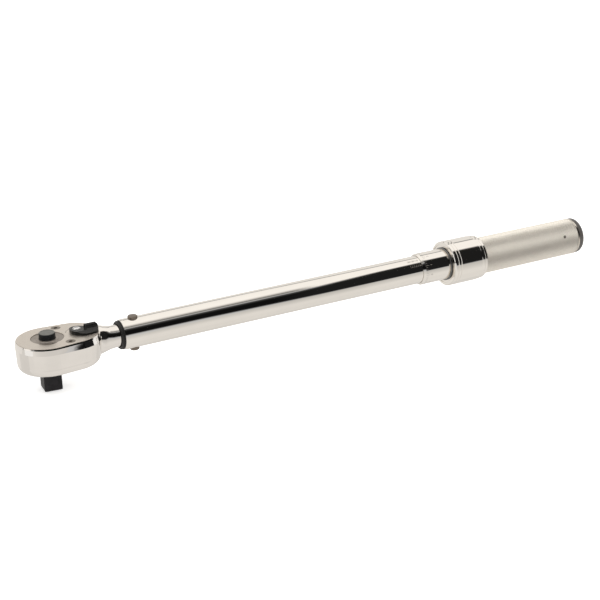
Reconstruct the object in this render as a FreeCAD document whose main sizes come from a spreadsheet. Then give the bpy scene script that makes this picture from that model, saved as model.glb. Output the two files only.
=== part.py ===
import FreeCAD, Part
import math
import os
import Sketcher

# Micrometer-style click torque wrench with a 12.7 mm square drive.
# Frame: origin at the centre of the square drive's end face, +X along the tube
# towards the grip, +Z towards the button side of the ratchet head.  Millimetres.

V = FreeCAD.Vector
os.makedirs("parts", exist_ok=True)
doc = FreeCAD.newDocument("torque_wrench")
sheet = doc.addObject("Spreadsheet::Sheet", "Dims")


class Dim(object):
    """A length with its number and the cell expression that drives it."""

    def __init__(self, value, text):
        self.v = float(value)
        self.t = text

    def __add__(self, o):
        o = as_dim(o)
        return Dim(self.v + o.v, "(%s + %s)" % (self.t, o.t))

    def __sub__(self, o):
        o = as_dim(o)
        return Dim(self.v - o.v, "(%s - %s)" % (self.t, o.t))

    def __mul__(self, o):
        o = as_dim(o)
        return Dim(self.v * o.v, "(%s * %s)" % (self.t, o.t))

    def __truediv__(self, o):
        o = as_dim(o)
        return Dim(self.v / o.v, "(%s / %s)" % (self.t, o.t))

    def __neg__(self):
        return Dim(-self.v, "(0 - %s)" % self.t)

    def __radd__(self, o):
        return as_dim(o) + self

    def __rsub__(self, o):
        return as_dim(o) - self

    def __rmul__(self, o):
        return as_dim(o) * self


def as_dim(o):
    if isinstance(o, Dim):
        return o
    return Dim(o, "(%.6f)" % float(o))


D = {}
TABLE = [
    # name, value, what it is
    ("axis_height", 28.0, "height of the tube axis over the drive's end face"),
    ("tube_radius", 11.1, "tube, outside radius"),
    ("tube_bore", 9.5, "tube, inside radius"),
    ("tube_mouth", 53.7, "front end of the tube"),
    ("tube_end", 405.0, "rear end of the tube"),
    ("mouth_chamfer", 1.9, "length of the tube mouth's chamfer"),
    ("pivot_station", 63.6, "pivot pin, distance from the drive axis"),
    ("pivot_pin_radius", 3.5, "pivot pin radius"),
    ("pivot_head_radius", 3.6, "pivot pin head radius"),
    ("pivot_top", 12.6, "pivot pin top over the tube axis"),
    ("pivot_bottom", 13.0, "pivot pin bottom under the tube axis"),
    ("running_gap", 0.08, "radial clearance of a running fit"),
    ("head_start", -0.2, "head outline, station of its drive-end centre"),
    ("head_big_radius", 22.3, "head outline, drive-end radius"),
    ("head_small_radius", 21.7, "head outline, neck-end radius"),
    ("head_span", 16.7, "distance between the two outline centres"),
    ("skirt_big_radius", 21.9, "head outline at its skirt, drive-end radius"),
    ("skirt_small_radius", 20.6, "head outline at its skirt, neck-end radius"),
    ("skirt_span", 16.4, "distance between the skirt's centres"),
    ("head_skirt", 6.0, "height of the skirt line under the tube axis"),
    ("head_shoulder", 4.7, "height of the head's vertical wall over the tube axis"),
    ("head_brow", 8.4, "height of the head's brow line over the tube axis"),
    ("rim_wall", 0.3, "head rim left round the cover plate"),
    ("head_top", 9.3, "head rim over the tube axis"),
    ("head_bottom", 12.4, "head base under the tube axis"),
    ("head_base_round", 5.6, "rounding of the head's lower edge"),
    ("plate_big_radius", 21.4, "cover plate, drive-end radius"),
    ("plate_small_radius", 19.5, "cover plate, neck-end radius"),
    ("plate_span", 17.0, "cover plate, distance between its centres"),
    ("plate_top", 9.6, "cover plate top over the tube axis"),
    ("plate_thickness", 2.4, "cover plate thickness"),
    ("plate_hole", 11.65, "cover plate, hole for the gear hub"),
    ("plate_gap", 0.06, "gap around the cover plate in its seat"),
    ("pocket_floor", 8.4, "gear pocket floor under the tube axis"),
    ("pocket_radius", 14.4, "gear pocket radius"),
    ("web_hole", 9.5, "hole in the head's lower web for the gear journal"),
    ("pawl_pocket_width", 19.6, "pawl pocket, across the wrench"),
    ("pawl_pocket_end", 27.0, "pawl pocket, end towards the neck"),
    ("lever_station", 21.5, "lever and pawl axis, distance from the drive axis"),
    ("gear_tip_radius", 14.0, "gear tooth tip radius"),
    ("gear_root_radius", 12.8, "gear tooth root radius"),
    ("gear_teeth", 36, "number of teeth"),
    ("gear_hub_radius", 11.5, "gear hub in the cover plate"),
    ("gear_hub_top", 9.25, "gear hub top over the tube axis"),
    ("gear_collar_radius", 8.2, "raised collar around the button"),
    ("gear_journal_radius", 9.4, "gear journal in the lower web"),
    ("square_size", 12.7, "square drive across flats"),
    ("square_turn", -6.0, "square drive, turned about its axis (degrees)"),
    ("button_bore", 5.95, "gear counterbore for the button"),
    ("button_radius", 5.75, "button radius"),
    ("button_top", 13.9, "button top over the tube axis"),
    ("button_base", 6.0, "button skirt's lower end over the tube axis"),
    ("button_travel", 3.0, "button travel"),
    ("stem_bore", 3.3, "gear bore for the button's stem"),
    ("stem_radius", 3.2, "button stem radius"),
    ("ball_height", 8.0, "socket ball over the drive's end face"),
    ("socket_ball_radius", 1.9, "socket ball radius"),
    ("screw_station", 11.5, "cover screw, distance along the wrench"),
    ("screw_offset", 14.8, "cover screw, distance to the side"),
    ("screw_head_radius", 3.4, "cover screw head radius"),
    ("screw_shank_radius", 1.5, "cover screw shank radius"),
    ("waist_radius", 7.8, "neck radius at its waist"),
    ("tang_radius", 8.3, "tang radius at the tube's mouth"),
    ("tang_end", 122.0, "tang's end"),
    ("tang_end_radius", 6.7, "tang radius at its end"),
    ("block_length", 8.0, "tilt block, along the wrench"),
    ("block_width", 7.0, "tilt block, across the wrench"),
    ("block_height", 8.0, "tilt block height"),
    ("socket_depth", 0.8, "depth of the tilt block's sockets"),
    ("plunger_front", 128.5, "plunger's front face"),
    ("plunger_length", 19.6, "plunger length"),
    ("plunger_radius", 9.4, "plunger radius"),
    ("spring_wire", 1.9, "main spring, wire radius"),
    ("spring_radius", 7.1, "main spring, mean radius"),
    ("spring_pitch", 8.5, "main spring pitch"),
    ("seat_front", 352.0, "spring seat's front face"),
    ("seat_length", 7.0, "spring seat's length"),
    ("thrust_ball_radius", 2.5, "thrust ball radius"),
    ("screw_tip", 362.2, "adjusting screw's tip"),
    ("screw_radius", 5.0, "adjusting screw radius"),
    ("screw_end", 451.4, "adjusting screw's rear end"),
    ("nut_front", 385.5, "adjuster nut's front face"),
    ("nut_length", 17.5, "adjuster nut's length"),
    ("hub_front", 430.0, "screw hub's front face"),
    ("hub_end", 446.0, "screw hub's rear face"),
    ("grip_radius", 14.8, "grip radius"),
    ("grip_front", 361.9, "grip's front face"),
    ("grip_end", 456.7, "grip's rear face"),
    ("grip_bore", 11.7, "grip's bore around the tube"),
    ("grip_rear_bore", 12.2, "grip's bore behind the tube"),
    ("cap_end", 461.2, "end cap's rear face"),
    ("cap_radius", 14.5, "end cap radius"),
    ("thimble_front", 303.7, "thimble's front edge"),
    ("thimble_radius", 12.5, "thimble radius"),
    ("thimble_bore", 11.2, "thimble's bore on the tube"),
    ("thimble_end", 374.0, "thimble's rear end inside the grip"),
    ("ring_front", 329.8, "lock ring's front face"),
    ("ring_end", 361.6, "lock ring's rear edge"),
    ("ring_radius", 17.8, "lock ring radius"),
    ("ring_lip_bore", 12.62, "lock ring, bore of the front lip"),
    ("ring_bore", 15.1, "lock ring, bore of the chamber"),
    ("ring_tail_radius", 16.4, "lock ring, radius at its rear edge"),
    ("lock_spring_radius", 13.8, "lock spring, mean radius"),
    ("lock_spring_wire", 0.8, "lock spring, wire radius"),
    ("lever_top", 12.2, "lever plate top over the tube axis"),
    ("lever_ridge_top", 15.6, "lever thumb ridge over the tube axis"),
]
for i, (name, value, note) in enumerate(TABLE):
    row = i + 1
    sheet.set("A%d" % row, note)
    sheet.set("B%d" % row, repr(value))
    sheet.setAlias("B%d" % row, name)
    D[name] = Dim(value, "Dims." + name)
doc.recompute()

AH = D["axis_height"]


def bind(obj, prop, dim):
    obj.setExpression(prop, as_dim(dim).t)


def place(obj, x=0, y=0, z=0, rot=None):
    """Put an object at x, y, z, each bound to its expression."""
    x, y, z = as_dim(x), as_dim(y), as_dim(z)
    obj.Placement = FreeCAD.Placement(V(x.v, y.v, z.v), rot or FreeCAD.Rotation())
    for comp, d in (("x", x), ("y", y), ("z", z)):
        if abs(d.v) > 1e-12 or "Dims" in d.t:
            obj.setExpression(".Placement.Base." + comp, d.t)
    return obj


ALONG_X = FreeCAD.Rotation(V(0, 1, 0), 90)
ALONG_Y = FreeCAD.Rotation(V(1, 0, 0), -90)


def cyl(name, r, length, x=0, y=0, z=0, rot=None):
    c = doc.addObject("Part::Cylinder", name)
    bind(c, "Radius", r)
    bind(c, "Height", length)
    return place(c, x, y, z, rot)


def cone(name, r1, r2, length, x=0, y=0, z=0, rot=None):
    c = doc.addObject("Part::Cone", name)
    bind(c, "Radius1", r1)
    bind(c, "Radius2", r2)
    bind(c, "Height", length)
    return place(c, x, y, z, rot)


def box(name, lx, ly, lz, x, y, z):
    b = doc.addObject("Part::Box", name)
    bind(b, "Length", lx)
    bind(b, "Width", ly)
    bind(b, "Height", lz)
    return place(b, x, y, z)


def ball(name, r, x, y, z):
    b = doc.addObject("Part::Sphere", name)
    bind(b, "Radius", r)
    return place(b, x, y, z)


def cut(name, base, tool):
    c = doc.addObject("Part::Cut", name)
    c.Base = base
    c.Tool = tool
    return c


def fuse(name, items):
    f = doc.addObject("Part::MultiFuse", name)
    f.Shapes = list(items)
    return f


def common(name, items):
    f = doc.addObject("Part::MultiCommon", name)
    f.Shapes = list(items)
    return f


def plane_of(body, role):
    for feature in body.Origin.OriginFeatures:
        if feature.Role == role:
            return feature
    raise RuntimeError(role)


def new_sketch(body, name, role, offset=None):
    s = body.newObject("Sketcher::SketchObject", name)
    s.AttachmentSupport = [(plane_of(body, role), "")]
    s.MapMode = "FlatFace"
    if offset is not None:
        offset = as_dim(offset)
        s.AttachmentOffset = FreeCAD.Placement(V(0, 0, offset.v), FreeCAD.Rotation())
        s.setExpression(".AttachmentOffset.Base.z", offset.t)
    return s


def pin_point(s, geo, pos, u, w):
    """Fix one sketch point at u, w by dimensions bound to the sheet."""
    u, w = as_dim(u), as_dim(w)
    if abs(u.v) < 1e-9:
        s.addConstraint(Sketcher.Constraint("PointOnObject", geo, pos, -2))
    else:
        n = s.addConstraint(Sketcher.Constraint("DistanceX", -1, 1, geo, pos, u.v))
        if "Dims" in u.t:
            s.setExpression("Constraints[%d]" % n, u.t)
    if abs(w.v) < 1e-9:
        s.addConstraint(Sketcher.Constraint("PointOnObject", geo, pos, -1))
    else:
        n = s.addConstraint(Sketcher.Constraint("DistanceY", -1, 1, geo, pos, w.v))
        if "Dims" in w.t:
            s.setExpression("Constraints[%d]" % n, w.t)


def polygon(s, pts):
    pts = [(as_dim(a), as_dim(b)) for a, b in pts]
    n = len(pts)
    for i in range(n):
        a, b = pts[i], pts[(i + 1) % n]
        s.addGeometry(Part.LineSegment(V(a[0].v, a[1].v, 0), V(b[0].v, b[1].v, 0)), False)
    for i in range(n):
        s.addConstraint(Sketcher.Constraint("Coincident", i, 2, (i + 1) % n, 1))
    for i in range(n):
        pin_point(s, i, 1, pts[i][0], pts[i][1])


def turned(name, pts, about="X"):
    """A turned piece.  About X: points are (x, radius) round the tube axis.
    About Z: points are (radius, height over the drive's end face)."""
    body = doc.addObject("PartDesign::Body", name)
    s = new_sketch(body, name + "_profile", "XZ_Plane")
    polygon(s, pts)
    rev = body.newObject("PartDesign::Revolution", name + "_turn")
    rev.Profile = s
    rev.ReferenceAxis = (s, ["H_Axis" if about == "X" else "V_Axis"])
    rev.Angle = 360.0
    body.Tip = rev
    if about == "X":
        place(body, 0, 0, AH)
    return body


def hull_sketch(s, r1, r2, span, start=0):
    """The outline round two circles on the wrench's centreline."""
    r1, r2, span, start = as_dim(r1), as_dim(r2), as_dim(span), as_dim(start)
    a = math.acos((r1.v - r2.v) / span.v)
    c1, c2 = V(start.v, 0, 0), V(start.v + span.v, 0, 0)

    def at(c, r, t):
        return V(c.x + r * math.cos(t), c.y + r * math.sin(t), 0)

    nz = V(0, 0, 1)
    s.addGeometry(Part.ArcOfCircle(Part.Circle(c1, nz, r1.v), a, 2 * math.pi - a), False)
    s.addGeometry(Part.LineSegment(at(c1, r1.v, 2 * math.pi - a), at(c2, r2.v, -a)), False)
    s.addGeometry(Part.ArcOfCircle(Part.Circle(c2, nz, r2.v), -a, a), False)
    s.addGeometry(Part.LineSegment(at(c2, r2.v, a), at(c1, r1.v, a)), False)
    s.addConstraint(Sketcher.Constraint("Tangent", 0, 2, 1, 1))
    s.addConstraint(Sketcher.Constraint("Tangent", 1, 2, 2, 1))
    s.addConstraint(Sketcher.Constraint("Tangent", 2, 2, 3, 1))
    s.addConstraint(Sketcher.Constraint("Tangent", 3, 2, 0, 1))
    if abs(start.v) < 1e-9:
        s.addConstraint(Sketcher.Constraint("Coincident", 0, 3, -1, 1))
    else:
        s.addConstraint(Sketcher.Constraint("PointOnObject", 0, 3, -1))
        n = s.addConstraint(Sketcher.Constraint("DistanceX", -1, 1, 0, 3, start.v))
        s.setExpression("Constraints[%d]" % n, start.t)
    s.addConstraint(Sketcher.Constraint("PointOnObject", 2, 3, -1))
    n = s.addConstraint(Sketcher.Constraint("Radius", 0, r1.v))
    s.setExpression("Constraints[%d]" % n, r1.t)
    n = s.addConstraint(Sketcher.Constraint("Radius", 2, r2.v))
    s.setExpression("Constraints[%d]" % n, r2.t)
    n = s.addConstraint(Sketcher.Constraint("DistanceX", 0, 3, 2, 3, span.v))
    s.setExpression("Constraints[%d]" % n, span.t)


def hull_pad(name, r1, r2, span, z0, height):
    body = doc.addObject("PartDesign::Body", name)
    s = new_sketch(body, name + "_outline", "XY_Plane")
    hull_sketch(s, r1, r2, span)
    pad = body.newObject("PartDesign::Pad", name + "_pad")
    pad.Profile = s
    bind(pad, "Length", height)
    body.Tip = pad
    place(body, 0, 0, z0)
    return body


def spring(name, mean_r, wire_r, pitch, height, x=0, y=0, z=0, rot=None):
    """A round-wire compression spring; its path is a helix along its own Z."""
    mean_r, wire_r, pitch, height = [as_dim(q) for q in (mean_r, wire_r, pitch, height)]
    helix = doc.addObject("Part::Helix", name + "_path")
    bind(helix, "Radius", mean_r)
    bind(helix, "Pitch", pitch)
    bind(helix, "Height", height)
    ring = doc.addObject("Part::Circle", name + "_wire")
    bind(ring, "Radius", wire_r)
    ring.Placement = FreeCAD.Placement(V(mean_r.v, 0, 0), FreeCAD.Rotation(V(1, 0, 0), 90))
    ring.setExpression(".Placement.Base.x", mean_r.t)
    sweep = doc.addObject("Part::Sweep", name)
    sweep.Sections = [ring]
    sweep.Spine = (helix, [])
    sweep.Solid = True
    sweep.Frenet = True
    return place(sweep, x, y, z, rot)


NODES = []


def node(obj, label):
    obj.Label = label
    NODES.append((obj, label))
    return obj


gap = D["running_gap"]

# ------------------------------------------------------------------ the housing
# Seamless tube: mouth chamfer outside, plain rear end hidden in the grip.
tube_blank = turned("tube_blank", [
    (D["tube_mouth"], D["tube_bore"] + 0.4),
    (D["tube_mouth"], D["tube_radius"] - 0.5),
    (D["tube_mouth"] + D["mouth_chamfer"], D["tube_radius"]),
    (D["tube_end"], D["tube_radius"]),
    (D["tube_end"], D["tube_bore"]),
    (D["tube_mouth"] + 0.6, D["tube_bore"]),
])
tube_pin_hole = cyl("tube_pin_hole", D["pivot_pin_radius"], 30, D["pivot_station"], 0, AH - 15)
tube_head_seat = cyl("tube_head_seat", D["pivot_head_radius"], 6, D["pivot_station"], 0, AH + 10.2)
tube_nut_hole = cyl("tube_nut_hole", 1.5, 30, D["nut_front"] + 9.0, 0, AH - 15)
tube_holes = fuse("tube_holes", [tube_pin_hole, tube_head_seat, tube_nut_hole])
node(cut("tube_cut", tube_blank, tube_holes), "tube")

# Rubber mouth seal: two ribs outside, a thin spigot inside the tube.
seal = turned("seal_turn", [
    (D["tube_mouth"] - 2.5, 8.7),
    (D["tube_mouth"] - 2.5, 9.0),
    (D["tube_mouth"] - 2.1, 9.75),
    (D["tube_mouth"] - 1.6, 10.25),
    (D["tube_mouth"] - 1.35, 10.25),
    (D["tube_mouth"] - 1.2, 9.95),
    (D["tube_mouth"] - 0.95, 9.95),
    (D["tube_mouth"] - 0.8, 10.4),
    (D["tube_mouth"] - 0.15, 10.5),
    (D["tube_mouth"], 10.35),
    (D["tube_mouth"], 8.9),
])
node(seal, "mouth_seal")

pin = turned("pivot_turn", [
    (0, AH - D["pivot_bottom"]),
    (D["pivot_pin_radius"] - 0.5, AH - D["pivot_bottom"]),
    (D["pivot_pin_radius"], AH - D["pivot_bottom"] + 0.5),
    (D["pivot_pin_radius"], AH + 10.2),
    (D["pivot_head_radius"], AH + 10.2),
    (D["pivot_head_radius"], AH + D["pivot_top"] - 0.35),
    (D["pivot_head_radius"] - 0.35, AH + D["pivot_top"]),
    (0, AH + D["pivot_top"] + 0.15),
], about="Z")
place(pin, D["pivot_station"], 0, 0)
node(pin, "pivot_pin")

# Threaded nut pinned in the tube's rear end; its bore clears the screw.
nut_blank = cyl("nut_blank", D["tube_bore"] - 0.02, D["nut_length"], D["nut_front"], 0, AH, ALONG_X)
nut_bore = cyl("nut_bore", D["screw_radius"] + gap, D["nut_length"] + 2, D["nut_front"] - 1, 0, AH, ALONG_X)
nut_pin_hole = cyl("nut_pin_hole", 1.5, 30, D["nut_front"] + 9.0, 0, AH - 15)
node(cut("nut_cut", nut_blank, fuse("nut_tools", [nut_bore, nut_pin_hole])), "adjuster_nut")
pins_a = cyl("nut_pin_upper", 1.45, 5.2, D["nut_front"] + 9.0, 0, AH + 5.6)
pins_b = cyl("nut_pin_lower", 1.45, 5.2, D["nut_front"] + 9.0, 0, AH - 10.8)
pair = doc.addObject("Part::Compound", "nut_pin_pair")
pair.Links = [pins_a, pins_b]
node(pair, "nut_pins")

# ------------------------------------------------------------------ ratchet head
# Forged body: a skirt with a rounded base, then three sloped courses that open
# out to the shoulder and draw the outline in again to the cover plate.
head = doc.addObject("PartDesign::Body", "head_body")
hb, hs, hp, h0 = D["head_big_radius"], D["head_small_radius"], D["head_span"], D["head_start"]
ht, hd, hsh = D["head_top"], D["head_bottom"], D["head_shoulder"]
head_outline = new_sketch(head, "head_outline", "XY_Plane", AH - hd)
hull_sketch(head_outline, D["skirt_big_radius"], D["skirt_small_radius"], D["skirt_span"], h0)
head_pad = head.newObject("PartDesign::Pad", "head_pad")
head_pad.Profile = head_outline
bind(head_pad, "Length", hd - D["head_skirt"])
head.Tip = head_pad
doc.recompute()


def edges_at(feature, z):
    names = []
    for i, e in enumerate(feature.Shape.Edges):
        bx = e.BoundBox
        if abs(bx.ZMin - z) < 1e-4 and abs(bx.ZMax - z) < 1e-4:
            names.append("Edge%d" % (i + 1))
    return names


base_round = head.newObject("PartDesign::Fillet", "head_base_round")
base_round.Base = (head_pad, edges_at(head_pad, (AH - hd).v))
bind(base_round, "Radius", D["head_base_round"])
head.Tip = base_round
doc.recompute()

courses = []
levels = [
    ("skirt", D["skirt_big_radius"], D["skirt_small_radius"], D["skirt_span"], h0, AH - D["head_skirt"]),
    ("shoulder", hb, hs, hp, h0, AH + hsh),
    ("brow", hb - 0.3, hs - 1.3, hp + 0.2, h0, AH + D["head_brow"]),
    ("rim", D["plate_big_radius"] + D["rim_wall"], D["plate_small_radius"] + D["rim_wall"], D["plate_span"], 0, AH + ht),
]
for k in range(3):
    course = doc.addObject("PartDesign::Body", "head_course_%d" % k)
    pair_ = []
    for tag, r1, r2, span, start, z in levels[k:k + 2]:
        q = new_sketch(course, "course_%d_%s" % (k, tag), "XY_Plane", z)
        hull_sketch(q, r1, r2, span, start)
        pair_.append(q)
    cl = course.newObject("PartDesign::AdditiveLoft", "course_loft_%d" % k)
    cl.Profile = pair_[0]
    cl.Sections = pair_[1:]
    cl.Ruled = True
    course.Tip = cl
    courses.append(course)
doc.recompute()

# Neck: oval sections, tall near the head and round at the waist. Its last section
# stays inside the tang, which begins with a small clean step.
NECK = [
    (33.0, 10.8, 10.7), (36.0, 10.65, 9.3), (39.0, 10.2, 8.4), (42.0, 9.3, 8.15),
    (45.0, 8.5, 8.1), (48.0, 8.15, 8.1), (51.2, 8.1, 8.05), (54.5, 8.12, 8.05),
]
ovals = []
for i, (x, rz, ry) in enumerate(NECK):
    oval = doc.addObject("Part::Ellipse", "neck_section_%d" % i)
    oval.MajorRadius = rz
    oval.MinorRadius = ry
    place(oval, x, 0, AH, ALONG_X)
    ovals.append(oval)
neck = doc.addObject("Part::Loft", "neck_loft")
neck.Sections = ovals
neck.Solid = True
neck.Ruled = False

tang = turned("tang_turn", [
    (53.8, 0), (53.8, D["tang_radius"]), (74.0, D["tang_radius"]),
    (D["tang_end"] - 1.0, D["tang_end_radius"]), (D["tang_end"], D["tang_end_radius"] - 1.0),
    (D["tang_end"], 0),
])
head_solid = fuse("head_solid", [head] + courses + [neck, tang])

# Everything cut out of the head.
seat_cut = hull_pad("plate_seat", D["plate_big_radius"] + D["plate_gap"],
                    D["plate_small_radius"] + D["plate_gap"], D["plate_span"],
                    AH + D["plate_top"] - D["plate_thickness"], 8)
gear_pocket = cyl("gear_pocket", D["pocket_radius"], 20, 0, 0, AH - D["pocket_floor"])
web_cut = cyl("web_cut", D["web_hole"], 20, 0, 0, AH - 18)
pawl_pocket = box("pawl_pocket", D["pawl_pocket_end"] - 8.0, D["pawl_pocket_width"], 20,
                  8.0, D["pawl_pocket_width"] * -0.5, AH - D["pocket_floor"])
lever_bearing = cyl("lever_bearing", 2.7, 3, D["lever_station"], 0, AH - D["pocket_floor"] - 1.6)
detent_bore = cyl("detent_bore", 1.6, 10, D["pawl_pocket_end"] - 2.0, 0, AH, ALONG_X)
pin_bore = cyl("pin_bore", D["pivot_pin_radius"] + gap, 30, D["pivot_station"], 0, AH - 15)
screw_hole_a = cyl("screw_hole_a", D["screw_shank_radius"] + 0.02, 10.3, D["screw_station"], D["screw_offset"], AH - 2.6)
screw_hole_b = cyl("screw_hole_b", D["screw_shank_radius"] + 0.02, 10.3, D["screw_station"], -D["screw_offset"], AH - 2.6)
tang_socket = box("tang_socket", 3, D["block_width"] + 1.0, D["block_height"] + 0.4,
                  D["tang_end"] - D["socket_depth"] - 0.02, D["block_width"] * -0.5 - 0.5,
                  AH - D["block_height"] * 0.5 - 0.2)
lever_sweep = cyl("lever_sweep", 15.5, 4, D["lever_station"], 0, AH + D["plate_top"])
head_tools = fuse("head_tools", [seat_cut, lever_sweep, gear_pocket, web_cut, pawl_pocket, lever_bearing,
                                 detent_bore, pin_bore, screw_hole_a, screw_hole_b, tang_socket])
node(cut("head_cut", head_solid, head_tools), "ratchet_head")

# Cover plate with its hub hole, a crescent relief on one side, the lever's hole
# and two countersinks.
plate_blank = hull_pad("plate_blank", D["plate_big_radius"], D["plate_small_radius"], D["plate_span"],
                       AH + D["plate_top"] - D["plate_thickness"], D["plate_thickness"])
plate_hole = cyl("plate_hole_tool", D["plate_hole"], 6, 0, 0, AH + 5)
relief = cyl("plate_relief", 8.0, 6, -1.6, -5.2, AH + D["plate_top"] - 0.9)
lever_hole = cyl("plate_lever_hole", 3.55, 6, D["lever_station"], 0, AH + 5)
tools = [plate_hole, relief, lever_hole]
for tag, sgn in (("a", 1.0), ("b", -1.0)):
    tools.append(cyl("plate_screw_" + tag, D["screw_shank_radius"] + 0.05, 6, D["screw_station"],
                     D["screw_offset"] * sgn, AH + 5))
    tools.append(cone("plate_sink_" + tag, D["screw_shank_radius"] + 0.02, D["screw_head_radius"] + 0.02, 1.9,
                      D["screw_station"], D["screw_offset"] * sgn, AH + D["plate_top"] - 1.9))
node(cut("plate_cut", plate_blank, fuse("plate_tools", tools)), "cover_plate")

# Two countersunk screws with hexagon recesses, one node.
screws = []
for tag, sgn in (("a", 1.0), ("b", -1.0)):
    hd_ = cone("screw_head_" + tag, D["screw_shank_radius"], D["screw_head_radius"], 1.9,
               D["screw_station"], D["screw_offset"] * sgn, AH + D["plate_top"] - 1.9)
    sh_ = cyl("screw_shank_" + tag, D["screw_shank_radius"], 10.2, D["screw_station"],
              D["screw_offset"] * sgn, AH - 2.2)
    rc_ = doc.addObject("Part::Prism", "screw_recess_" + tag)
    rc_.Polygon = 6
    rc_.Circumradius = 1.5
    rc_.Height = 4
    place(rc_, D["screw_station"], D["screw_offset"] * sgn, AH + D["plate_top"] - 1.3)
    screws.append(cut("screw_" + tag, fuse("screw_blank_" + tag, [hd_, sh_]), rc_))
group = doc.addObject("Part::Compound", "cover_screw_pair")
group.Links = screws
node(group, "cover_screws")

# Pawl detent: a spring and a ball in a blind bore behind the pawl.
node(ball("detent_ball_turn", 1.5, 27.4, 0, AH), "detent_ball")
node(spring("detent_spring_sweep", 1.2, 0.25, 0.9, 4.2, 29.2, 0, AH, ALONG_X), "detent_spring")

# ------------------------------------------------------------------ drive gear
gear = doc.addObject("PartDesign::Body", "gear_body")
gs = new_sketch(gear, "gear_profile", "XZ_Plane")
polygon(gs, [
    (0, 0.6),
    (5.5, 0.6),
    (5.5, AH - D["head_bottom"] + 0.2),
    (D["gear_journal_radius"], AH - D["head_bottom"] + 0.2),
    (D["gear_journal_radius"], AH - D["pocket_floor"] + 0.1),
    (D["gear_tip_radius"], AH - D["pocket_floor"] + 0.1),
    (D["gear_tip_radius"], AH + 6.9),
    (D["gear_hub_radius"], AH + 6.9),
    (D["gear_hub_radius"], AH + D["gear_hub_top"]),
    (D["gear_collar_radius"], AH + D["gear_hub_top"]),
    (D["gear_collar_radius"] - 0.3, AH + D["gear_hub_top"] + 0.3),
    (0, AH + D["gear_hub_top"] + 0.3),
])
grev = gear.newObject("PartDesign::Revolution", "gear_turn")
grev.Profile = gs
grev.ReferenceAxis = (gs, ["V_Axis"])
grev.Angle = 360.0
gear.Tip = grev
doc.recompute()
tooth = new_sketch(gear, "tooth_gap", "XY_Plane", AH - D["pocket_floor"] - 1.0)
polygon(tooth, [
    (D["gear_root_radius"], 0),
    (D["gear_tip_radius"] + 0.5, 1.25),
    (D["gear_tip_radius"] + 0.5, -1.25),
])
slot = gear.newObject("PartDesign::Pocket", "tooth_slot")
slot.Profile = tooth
slot.Type = 0
slot.Length = 20.0
slot.Reversed = True
gear.Tip = slot
doc.recompute()
v0, v1 = grev.Shape.Volume, slot.Shape.Volume
if v1 > v0 - 5:
    slot.Reversed = False
    doc.recompute()
    v1 = slot.Shape.Volume
if v1 > v0 - 5:
    raise RuntimeError("tooth slot cuts nothing: %.2f %.2f" % (v0, v1))
teeth = gear.newObject("PartDesign::PolarPattern", "teeth")
teeth.Originals = [slot]
teeth.Axis = (tooth, ["N_Axis"])
teeth.Angle = 360
teeth.Occurrences = 36
bind(teeth, "Occurrences", D["gear_teeth"])
gear.Tip = teeth
doc.recompute()

# Square with a chamfered end, turned a little about the axis.
sq = D["square_size"]
square = doc.addObject("Part::Box", "square_box")
bind(square, "Length", sq)
bind(square, "Width", sq)
bind(square, "Height", AH - D["head_bottom"] + 1.0)
place(square, sq * -0.5, sq * -0.5, 0)
square_round = cyl("square_round", 8.6, 40, 0, 0, -1)
square_cap = doc.addObject("Part::Wedge", "square_cap")
for key, dim in (("Xmin", sq * -0.5 + 0.9), ("Xmax", sq * 0.5 - 0.9), ("Zmin", sq * -0.5 + 0.9), ("Zmax", sq * 0.5 - 0.9),
                 ("X2min", sq * -0.5 - 17.1), ("X2max", sq * 0.5 + 17.1), ("Z2min", sq * -0.5 - 17.1), ("Z2max", sq * 0.5 + 17.1),
                 ("Ymin", as_dim(0)), ("Ymax", as_dim(18.0))):
    bind(square_cap, key, dim)
square_cap.Placement = FreeCAD.Placement(V(0, 0, 0), FreeCAD.Rotation(V(1, 0, 0), 90))
square_trim = common("square_trim", [square, square_cap, square_round])
square_turned = doc.addObject("Part::Compound", "square_turned")
square_turned.Links = [square_trim]
square_turned.Placement = FreeCAD.Placement(V(0, 0, 0), FreeCAD.Rotation(V(0, 0, 1), D["square_turn"].v))
square_turned.setExpression(".Placement.Rotation.Angle", D["square_turn"].t)
drive_solid = fuse("drive_solid", [gear, square_turned])
button_hole = cyl("button_hole", D["button_bore"], 20, 0, 0, AH + 1.0)
stem_hole = cyl("stem_hole", D["stem_bore"], 40, 0, 0, 3.0)
TURN = D["square_turn"].v
ball_rot = FreeCAD.Rotation(V(0, 0, 1), TURN) * ALONG_Y
ball_hole = cyl("ball_hole", D["socket_ball_radius"] + 0.03, 6.5, 0, 0, D["ball_height"], ball_rot)
node(cut("drive_cut", drive_solid, fuse("drive_tools", [button_hole, stem_hole, ball_hole])), "drive_gear")

tv = V(-math.sin(math.radians(TURN)), math.cos(math.radians(TURN)), 0)
node(ball("socket_ball_turn", D["socket_ball_radius"], tv.x * 5.15, tv.y * 5.15, D["ball_height"]), "socket_ball")

# ------------------------------------------------------------------ release button
bt = AH + D["button_top"]
bb = AH + D["button_base"]
bh = D["ball_height"]
button = turned("button_turn", [
    (0, 6.3),
    (D["stem_radius"] - 0.6, 6.3),
    (D["stem_radius"], 6.9),
    (D["stem_radius"], bh + 1.1),
    (2.0, bh + 2.3),
    (2.0, bh + 3.9),
    (D["stem_radius"], bh + 5.1),
    (D["stem_radius"], bb),
    (D["button_radius"], bb),
    (D["button_radius"], bt - 0.7),
    (D["button_radius"] - 0.7, bt),
    (D["button_radius"] - 1.3, bt),
    (D["button_radius"] - 2.0, bt - 0.25),
    (0, bt - 0.25),
], about="Z")
node(button, "release_button")
node(spring("button_spring_sweep", 4.35, 0.2, 1.46, 4.38, 0, 0, AH + 1.28), "button_spring")

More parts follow.
